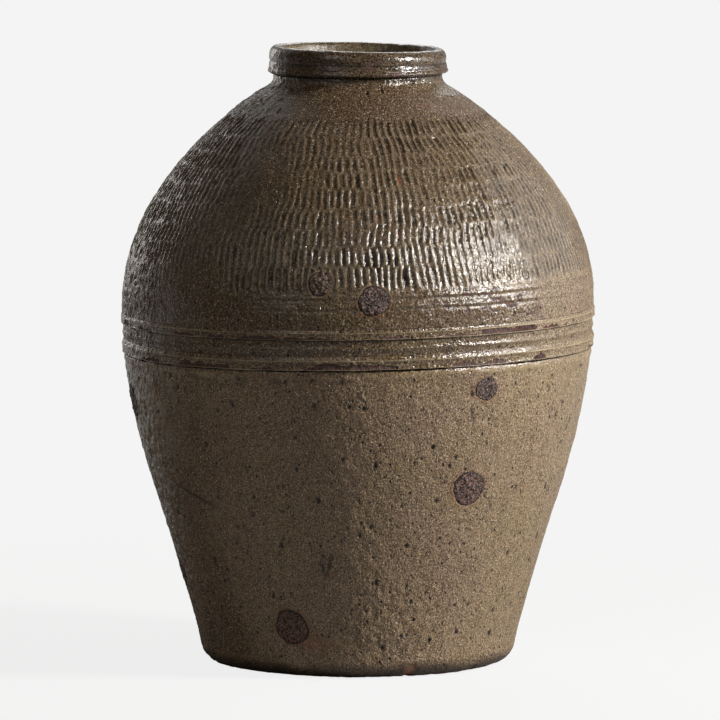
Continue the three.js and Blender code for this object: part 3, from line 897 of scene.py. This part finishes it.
# Neck
# A short ring of clay that sweeps up out of the shoulder to the rim. Its glaze is painted darker
# at its top, as shade under the rim, and a few bubbles have burst in it.
neck_columns = 1170
neck_top = 472
neck_inside = 56.5
neck_root = (neck_root_radius, shoulder_top)
neck_curve = bent(neck_root, (73.5, 462), (67.5, 464), (67.5, 470), 26)
neck_outline = [
    neck_root,
    (neck_root_radius - 0.1, shoulder_top + 0.06),
    *neck_curve[1:],
    (67.5, 471),
    (67.4, 471.9),
    (62, neck_top),
    (neck_inside, neck_top),
    (neck_inside, 464),
    (57, 460.5),
    (neck_root_radius - 10.1, shoulder_top + 0.1),
]
neck_rows = len(neck_curve) + 3
neck_bubbles = [
    Spot(40, 468.5, 2.6, 1.6, 1.2),
    Spot(15.5, 463.5, 1.0, 3.4, 1.0),
    Spot(5.5, 461.5, 1.7, 2.0, 1.4),
]
neck = around(neck_outline, neck_columns)
neck_out = outward(neck)
neck_out[:2] = neck_out[2]
shown = (np.arange(len(neck)) < neck_rows)[:, None] * np.ones(neck_columns)
bubbles = sum(spot.depth * dent(neck, spot, 0.15) for spot in neck_bubbles)
brushed = eased(-bearing_of(neck), 30, 50)
raised = skin(neck) - bubbles + 0.4 * brushed * lumps(neck, 3.2, 47, (1, 1, 3))
neck = neck + neck_out * (shown * raised)[..., None]
neck_traits = {
    # Painted shade under the rim at the neck's top, and dark burst bubbles.
    "dark_hollows_and_shade": np.clip(0.55 * eased(neck[..., 2], 466, 471) * shown + 0.6 * bubbles, 0, 0.9),
    "brown": 0.4 * shown,
    "deep": 1.0,
    "wet": 1.0,
}
neck_piece = clay_mesh("neck_glazed", neck, neck_traits, ash_glaze)
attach(neck_piece, "root")
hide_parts("neck_ring")

# Rolled rim
# A thick roll of clay folded over outwards, with a lip left under it and a groove round
# it. It is the most handled part: the glaze is glossy, dark and worn through at the edges.
rim_columns = 1170
rim_top = 495
lip_top = 478
lip_radius = 66
mouth_radius = 62
rim_tilt = 1.5
groove_height = 482.4
rim_guide = [
    (67.6, 472.3), (70.2, 472.9), (71.7, 473.8), (72.2, 474.8),
    (71.8, 476.0), (71.2, 477.2), (71.1, 479.0), (70.9, 481.2),
    (70.3, groove_height), (70.6, 483.6), (71.0, 486.0), (70.8, 489.0),
    (70.0, 491.5), (68.5, 493.7), (66.4, 494.8), (64.0, 494.9),
    (61.9, 494.2), (60.4, 492.4), (59.7, 489.6), (59.4, 486.2),
    (58.5, 482.0), (57.3, 479.0), (56.6, 476.0), (56.5, 472.4),
]


def softened(outline, times):
    """Rounds the corners of an open outline by cutting each one off again and again."""
    outline = np.asarray(outline, float)
    for _ in range(times):
        first, second = outline[:-1], outline[1:]
        cut = np.stack([0.75 * first + 0.25 * second, 0.25 * first + 0.75 * second], axis=1)
        outline = np.vstack([outline[:1], cut.reshape(-1, 2), outline[-1:]])
    return outline


rim_outline = softened(rim_guide, 2)
rim = around(rim_outline, rim_columns)
rim_out = outward(rim)
bearing = bearing_of(rim)
height = rim[..., 2]
across = np.hypot(rim[..., 0], rim[..., 1])
ends = np.arange(len(rim))[:, None]
shown = ((ends > 1) & (ends < len(rim) - 4)) * np.ones(rim_columns)
outside = across > lip_radius
flaked = 0.7 * patches(rim, 5, 0.5, 81, (1, 1, 0.6)) * outside
flaked = np.maximum(flaked, patches(rim, 6, 0.4, 83, (1, 1, 0.5)) * (height < lip_top) * outside)
drips = eased(lumps(rim, 7, 84), 0.1, 0.5) * (1 - eased(height, 475, lip_top)) * outside
raised = 0.35 * lumps(rim, 30, 86) + 0.25 * lumps(rim, 8, 85) + 0.14 * lumps(rim, 3, 87)
raised += 0.25 * drips - 0.2 * flaked
rim = rim + rim_out * (shown * raised)[..., None]
rim[..., 2] -= rim_tilt * (1 + rim[..., 0] / 71) * eased(rim[..., 2], 474, 494)
rim[..., 2] = np.minimum(rim[..., 2], rim_top)

coat, shader = new_finish("rim_glaze")
cloud = between(coat, mottle(coat, 14, 3, seed=4.4), 0.36, 0.64)
grain = between(coat, mottle(coat, 1.3, 2, seed=5.4), 0.43, 0.57)
body = blended(coat, cloud, colour(92, 74, 60), colour(116, 98, 74))
body = blended(coat, grain, colour(32, 24, 20), body)
light_sand = between(coat, mottle(coat, 1.3, 1, seed=9.4), 0.62, 0.7, 0.0, 0.7)
body = blended(coat, light_sand, body, colour(190, 172, 142))
olive = blended(coat, grain, colour(60, 50, 36), colour(140, 122, 90))
body = blended(coat, trait(coat, "inside"), body, olive)
body = blended(coat, trait(coat, "dark_hollows_and_shade"), body, colour(30, 24, 20))
body = blended(coat, trait(coat, "bare"), body, bare_clay_colour(coat))
feed(coat, shader, "Base Color", body)
gloss = between(coat, mottle(coat, 4, 3, seed=6.4), 0.35, 0.65, 0.14, 0.28)
dry = sums(coat, "ADD", trait(coat, "bare"), trait(coat, "inside"))
dull = sums(coat, "MULTIPLY", dry, 0.25)
feed(coat, shader, "Roughness", sums(coat, "ADD", gloss, dull))
feed(coat, shader, "IOR", 1.5)
feed(coat, shader, "Specular IOR Level", 0.8)
rim_relief = [(mottle(coat, 2.4, 2), 0.3), (mottle(coat, 1.3, 2), 0.12)]
feed(coat, shader, "Normal", roughened(coat, rim_relief))

# Painted shade in the groove and under the lip's lower edge.
groove = ridge(height, groove_height, 0.8) * outside
rim_traits = {
    "inside": (across < mouth_radius) * eased(rim_top - 0.5 - height, 0, 3),
    "dark_hollows_and_shade": np.clip(0.9 * groove + 0.5 * (1 - eased(height, 472.5, 474.5)) * outside, 0, 0.9),
    "bare": flaked,
}
rim_piece = clay_mesh("rim_glazed", rim, rim_traits, coat)
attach(rim_piece, "root")
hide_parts("rolled_rim")

# Kiln scars
# What is left of the clay wads that kept this jar off its neighbours in the kiln: rough
# discs of dry purple brown clay, flecked with orange, fused into the glaze round them.
scar_sides = 84
scar_rings = 18
scar_back_depth = 0.9
embers_and_veils = {1: (0.2, 0.5), 2: (0.5, 0.0), 3: (0.2, 0.0), 4: (0.6, 0.0), 5: (0.9, 0.2)}
wad, shader = new_finish("scar_clay")
grit = between(wad, mottle(wad, 1.4, 3, seed=2.2), 0.47, 0.6)
body = blended(wad, grit, colour(24, 17, 16), colour(158, 132, 122))
ember = between(wad, mottle(wad, 1.8, 3, seed=9.1), 0.56, 0.62)
ember = sums(wad, "MULTIPLY", ember, trait(wad, "ember"))
body = blended(wad, ember, body, colour(150, 84, 54))
veil = between(wad, mottle(wad, 3.5, 2, seed=3.3), 0.42, 0.55)
veil = sums(wad, "MULTIPLY", veil, trait(wad, "veil"))
body = blended(wad, veil, body, colour(116, 98, 74))
body = blended(wad, trait(wad, "edge"), body, colour(24, 18, 18))
feed(wad, shader, "Base Color", body)
feed(wad, shader, "Roughness", between(wad, grit, 0, 1, 0.45, 0.7))
scar_relief = [(mottle(wad, 1.6, 3, seed=2.2), 2.0)]
feed(wad, shader, "Normal", roughened(wad, scar_relief))


def kiln_scar(number, spot):
    """A domed rough disc that follows the wall, thinner at its edge, with a flat back."""
    angle = np.arange(scar_sides) * 2 * np.pi / scar_sides
    share = np.linspace(0.04, 1.0, scar_rings)[:, None]
    edge = scar_outline(angle, number - 1)
    sideways = share * edge * spot.half_width * np.cos(angle)
    bearing = np.radians(spot.bearing) + sideways / wall_radius(spot.height)
    height = spot.height + share * edge * spot.half_height * np.sin(angle)
    slope = wall_slope(height)
    length = np.hypot(1, slope)

    def stood_off(distance):
        radius = wall_radius(height) + distance / length
        level = height - distance * slope / length
        return settled(np.stack([radius * np.sin(bearing), -radius * np.cos(bearing), level], axis=-1))

    flat = stood_off(0 * share)
    crown = 0.62 - 0.35 * share**2 + 0.65 * lumps(flat, 2.4, 91) + 0.35 * lumps(flat, 6, 92)
    crown = crown * (1 - 0.55 * eased(share, 0.9, 1.0)) - 0.25 * eased(share, 0.93, 1.0)
    front = stood_off(skin(flat) + crown)
    back = stood_off(-scar_back_depth + 0 * share)[::-1]
    places = np.vstack([front, back])[::-1]
    dark_edge = 0.9 * eased(share, 0.86, 0.97) + 0 * angle
    ember, veil = embers_and_veils.get(number, (0.35, 0.1))
    traits = {"ember": ember, "veil": veil, "edge": np.vstack([dark_edge, 0 * dark_edge])[::-1]}
    piece = clay_mesh(f"wad_scar_{number}", places, traits, wad, ring=False)
    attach(piece, "root")
    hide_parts(f"kiln_scar_{number}")


for number, spot in enumerate(scar_spots, 1):
    kiln_scar(number, spot)

# Floor
# A plain pale studio floor that runs off into an equally pale backdrop. It carries the
# soft shadow of the jar and shows up pale in the glaze, without lighting the jar more.
pale = colour(244, 244, 244)
floor_reach = 9.0


def seen_or_mirrored(finish, behind):
    """1 for what the eye sees. A glossy or clear face shows as much of it as lies behind."""
    light_path = node(finish, "LightPath").outputs
    mirrored = sums(finish, "MAXIMUM", light_path["Is Glossy Ray"], light_path["Is Transmission Ray"])
    mirrored = sums(finish, "MULTIPLY", mirrored, behind)
    return sums(finish, "MAXIMUM", light_path["Is Camera Ray"], mirrored)


floor_mesh = bpy.data.meshes.new("studio_floor")
ends = (-floor_reach, floor_reach)
corners = [(x, y, 0) for x, y in zip(ends + ends[::-1], (ends[0], ends[0], ends[1], ends[1]))]
floor_mesh.from_pydata(corners, [], [(0, 1, 2, 3)])
floor = placed("studio_floor", floor_mesh)
paint, shader = new_finish("studio_floor")
paint.node_tree.nodes.remove(shader)
place = node(paint, "TexCoord").outputs["Object"]
along_y = node(paint, "SeparateXYZ", {"Vector": place}).outputs["Y"]
distance = node(paint, "VectorMath", {0: place}, operation="LENGTH").outputs["Value"]
away = between(paint, distance, 0.35, 1.3)
plain = node(paint, "BsdfDiffuse", {"Color": (0.3, 0.3, 0.3, 1)})
shaded = node(paint, "BsdfDiffuse", {"Color": (0.1, 0.1, 0.1, 1)})
glow = node(paint, "Emission", {"Color": pale, "Strength": 0.92})
near = node(paint, "AddShader", {0: shaded.outputs[0], 1: glow.outputs[0]})
far = node(paint, "Emission", {"Color": pale, "Strength": 1.0})
pale_floor = node(paint, "MixShader", {0: away, 1: near.outputs[0], 2: far.outputs[0]})
seen = seen_or_mirrored(paint, between(paint, along_y, 0.2, 1.5, 0.0, 0.6))
whole = node(paint, "MixShader", {0: seen, 1: plain.outputs[0], 2: pale_floor.outputs[0]})
output = paint.node_tree.nodes["Material Output"]
feed(paint, output, "Surface", whole.outputs[0])
floor_mesh.materials.append(paint)

# Backdrop and fill
# The pale room round the jar: as pale as the floor where it is seen, but only a weak even
# fill on the jar itself.
world = bpy.data.worlds.new("studio")
world.use_nodes = True
bpy.context.scene.world = world
background = world.node_tree.nodes["Background"]
towards = node(world, "TexCoord").outputs["Generated"]
direction = node(world, "SeparateXYZ", {"Vector": towards}).outputs
behind = between(world, direction["Y"], 0.2, 1.0)
high = between(world, direction["Z"], 0.05, 0.5, 0.2, 0.7)
fill = (0.07, 0.059, 0.046, 1)
sky = blended(world, seen_or_mirrored(world, sums(world, "MULTIPLY", behind, high)), fill, pale)
feed(world, background, "Color", sky)

# Lamps
# The light comes from the right, as in the photograph: a strong softbox high up and a weak
# broad one beside it. Three more weak ones stand in front on the left, where they give the
# dark side a little shape, behind on the left for its edge, and behind the jar.
jar_middle = Vector((0, 0, 0.3))


def softbox(name, bearing, elevation, distance, width, height, watts, tint):
    turn, rise = np.radians(bearing), np.radians(elevation)
    way = Vector((np.sin(turn) * np.cos(rise), -np.cos(turn) * np.cos(rise), np.sin(rise)))
    lamp = bpy.data.lights.new(name, "AREA")
    lamp.shape = "RECTANGLE"
    lamp.size = width
    lamp.size_y = height
    lamp.energy = watts
    lamp.color = tint
    stand = placed(name, lamp)
    stand.location = jar_middle + way * distance
    stand.rotation_euler = (-way).to_track_quat("-Z", "Y").to_euler()


softbox("key_softbox", 71, 24, 2.1, 0.36, 0.48, 51, (1.0, 0.98, 0.96))
softbox("side_softbox", 94, 13, 2.2, 1.5, 0.8, 7, (1.0, 0.98, 0.96))
softbox("fill_softbox", -30, 30, 2.2, 1.0, 1.0, 3.2, (1.0, 0.96, 0.9))
softbox("edge_softbox", -146, 12, 1.8, 0.5, 0.7, 2.4, (1.0, 0.94, 0.87))
softbox("back_softbox", 176, 32, 2.4, 1.0, 1.0, 8, (1.0, 0.98, 0.95))

# Camera
# It stands well in front of the jar and a little above it, with a long lens.
camera_distance = 6.2
camera_height = 0.87
lens = bpy.data.cameras.new("camera")
lens.lens = 387.8
lens.sensor_width = 36
lens.clip_end = 60
camera = placed("camera", lens)
camera.location = (0, -camera_distance, camera_height)
looked_at = Vector((0.0017, 0, 0.2415))
camera.rotation_euler = (looked_at - camera.location).to_track_quat("-Z", "Y").to_euler()
bpy.context.scene.camera = camera
bpy.context.scene.view_settings.view_transform = "Standard"
